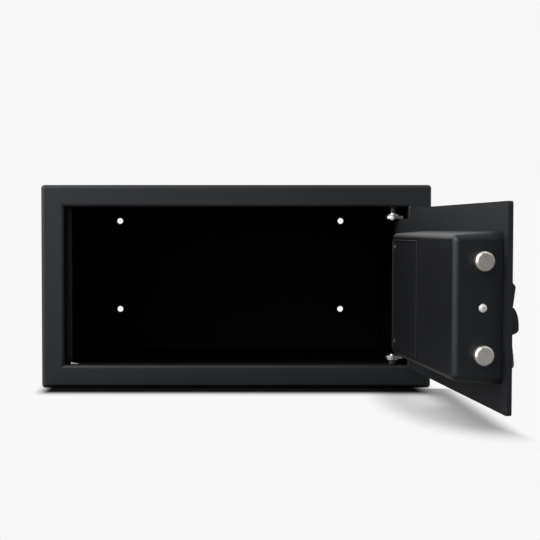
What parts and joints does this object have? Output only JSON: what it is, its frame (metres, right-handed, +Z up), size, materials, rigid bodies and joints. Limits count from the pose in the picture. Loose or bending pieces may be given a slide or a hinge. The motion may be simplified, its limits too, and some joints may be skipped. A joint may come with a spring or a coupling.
{
  "type": "steel safe with a swing door",
  "caption": "Front opening steel safe with an open swing door, sliding round bolts in a bent lock cover, a battery lid and a key pad outside.",
  "frame": {"origin": "centre of the case's bottom face", "axes": "+Z up, -Y out of the case's front, +X towards the hinge side"},
  "size_m": [0.4287, 0.7127, 0.219],
  "materials": {
    "black_paint": "fine textured black powder coat, satin",
    "zinc_steel": "bright zinc plate",
    "bolt_steel": "turned steel, lightly stained",
    "black_plastic": "moulded black plastic, satin",
    "key_rubber": "dark grey rubber with pale digits",
    "tinted_pane": "dark tinted window, glossy",
    "bronze_paint": "bronze metallic paint, satin",
    "green_board": "green circuit board",
    "cell_wrap": "dark grey printed sleeve without words",
    "brass": "plain brass"
  },
  "bodies": {
    "case": {"case_wrap": "black_paint", "back_panel": "black_paint", "front_frame": "black_paint", "latch_guard": "black_paint", "door_stop": "zinc_steel", "hinge_pin_top": "zinc_steel", "hinge_pin_bottom": "zinc_steel", "hinge_washer": "zinc_steel", "hinge_washer_top": "zinc_steel", "hinge_bush": "zinc_steel"},
    "door": {"door_plate": "black_paint", "hinge_lug_top": "zinc_steel", "hinge_lug_bottom": "zinc_steel", "lock_cover": "black_paint", "battery_cover": "black_paint", "battery_cover_screw_lower": "zinc_steel", "battery_cover_screw_upper": "zinc_steel", "cover_end_screw": "zinc_steel", "bolt_guide": "zinc_steel", "circuit_board": "green_board", "board_post_left": "brass", "board_post_right": "brass", "gearbox": "black_plastic", "motor": "zinc_steel", "battery_tray": "black_plastic", "battery_cell_1": "cell_wrap", "battery_cell_2": "cell_wrap", "battery_cell_3": "cell_wrap", "battery_cell_4": "cell_wrap", "contact_left": "brass", "contact_right": "brass", "keypad_housing": "black_plastic", "key_board": "green_board", "display_hood": "black_plastic", "display_window": "tinted_pane", "finger_pull": "black_plastic", "flap_pin": "zinc_steel", "lock_barrel": "zinc_steel"},
    "bolts": {"bolt_carriage": "zinc_steel", "bolt_lower": "bolt_steel", "bolt_upper": "bolt_steel"},
    "pinion": {"drive_pinion": "brass"},
    "flap": {"override_flap": "bronze_paint"},
    "cylinder": {"key_cylinder": "brass", "cylinder_cam": "zinc_steel"},
    "key_1_body": {"key_1": "key_rubber"},
    "key_2_body": {"key_2": "key_rubber"},
    "key_3_body": {"key_3": "key_rubber"},
    "key_4_body": {"key_4": "key_rubber"},
    "key_5_body": {"key_5": "key_rubber"},
    "key_6_body": {"key_6": "key_rubber"},
    "key_7_body": {"key_7": "key_rubber"},
    "key_8_body": {"key_8": "key_rubber"},
    "key_9_body": {"key_9": "key_rubber"},
    "key_clear_body": {"key_clear": "key_rubber"},
    "key_0_body": {"key_0": "key_rubber"},
    "key_enter_body": {"key_enter": "key_rubber"}
  },
  "joints": [
    {"name": "door_swing", "type": "hinge", "parent": "case", "child": "door", "pos_m": [0.17, -0.176, 0.11], "axis": [0, 0, 1], "range_deg": [-94.2, 13.8]},
    {"name": "bolt_throw", "type": "slide", "parent": "door", "child": "bolts", "axis": [0.0732, -0.9973, 0], "range_m": [0, 0.02]},
    {"name": "pinion_turn", "type": "hinge", "parent": "door", "child": "pinion", "pos_m": [0.1925, -0.44006, 0.1], "axis": [0.9973, 0.0732, 0], "range_deg": [0, 180.5]},
    {"name": "flap_swing", "type": "hinge", "parent": "door", "child": "flap", "pos_m": [0.20949, -0.47341, 0.0836], "axis": [0.0732, -0.9973, 0], "range_deg": [0, 90]},
    {"name": "cylinder_turn", "type": "hinge", "parent": "door", "child": "cylinder", "pos_m": [0.20029, -0.46556, 0.072], "axis": [0.9973, 0.0732, 0], "range_deg": [0, 90]},
    {"name": "key_1_press", "type": "slide", "parent": "door", "child": "key_1_body", "axis": [-0.9973, -0.0732, 0], "range_m": [0, 0.001], "stiffness_N_per_m": 300},
    {"name": "key_2_press", "type": "slide", "parent": "door", "child": "key_2_body", "axis": [-0.9973, -0.0732, 0], "range_m": [0, 0.001], "stiffness_N_per_m": 300},
    {"name": "key_3_press", "type": "slide", "parent": "door", "child": "key_3_body", "axis": [-0.9973, -0.0732, 0], "range_m": [0, 0.001], "stiffness_N_per_m": 300},
    {"name": "key_4_press", "type": "slide", "parent": "door", "child": "key_4_body", "axis": [-0.9973, -0.0732, 0], "range_m": [0, 0.001], "stiffness_N_per_m": 300},
    {"name": "key_5_press", "type": "slide", "parent": "door", "child": "key_5_body", "axis": [-0.9973, -0.0732, 0], "range_m": [0, 0.001], "stiffness_N_per_m": 300},
    {"name": "key_6_press", "type": "slide", "parent": "door", "child": "key_6_body", "axis": [-0.9973, -0.0732, 0], "range_m": [0, 0.001], "stiffness_N_per_m": 300},
    {"name": "key_7_press", "type": "slide", "parent": "door", "child": "key_7_body", "axis": [-0.9973, -0.0732, 0], "range_m": [0, 0.001], "stiffness_N_per_m": 300},
    {"name": "key_8_press", "type": "slide", "parent": "door", "child": "key_8_body", "axis": [-0.9973, -0.0732, 0], "range_m": [0, 0.001], "stiffness_N_per_m": 300},
    {"name": "key_9_press", "type": "slide", "parent": "door", "child": "key_9_body", "axis": [-0.9973, -0.0732, 0], "range_m": [0, 0.001], "stiffness_N_per_m": 300},
    {"name": "key_clear_press", "type": "slide", "parent": "door", "child": "key_clear_body", "axis": [-0.9973, -0.0732, 0], "range_m": [0, 0.001], "stiffness_N_per_m": 300},
    {"name": "key_0_press", "type": "slide", "parent": "door", "child": "key_0_body", "axis": [-0.9973, -0.0732, 0], "range_m": [0, 0.001], "stiffness_N_per_m": 300},
    {"name": "key_enter_press", "type": "slide", "parent": "door", "child": "key_enter_body", "axis": [-0.9973, -0.0732, 0], "range_m": [0, 0.001], "stiffness_N_per_m": 300}
  ],
  "couplings": [
    {"joint": "pinion_turn", "follows": "bolt_throw", "rad_per_m": 157.08}
  ]
}
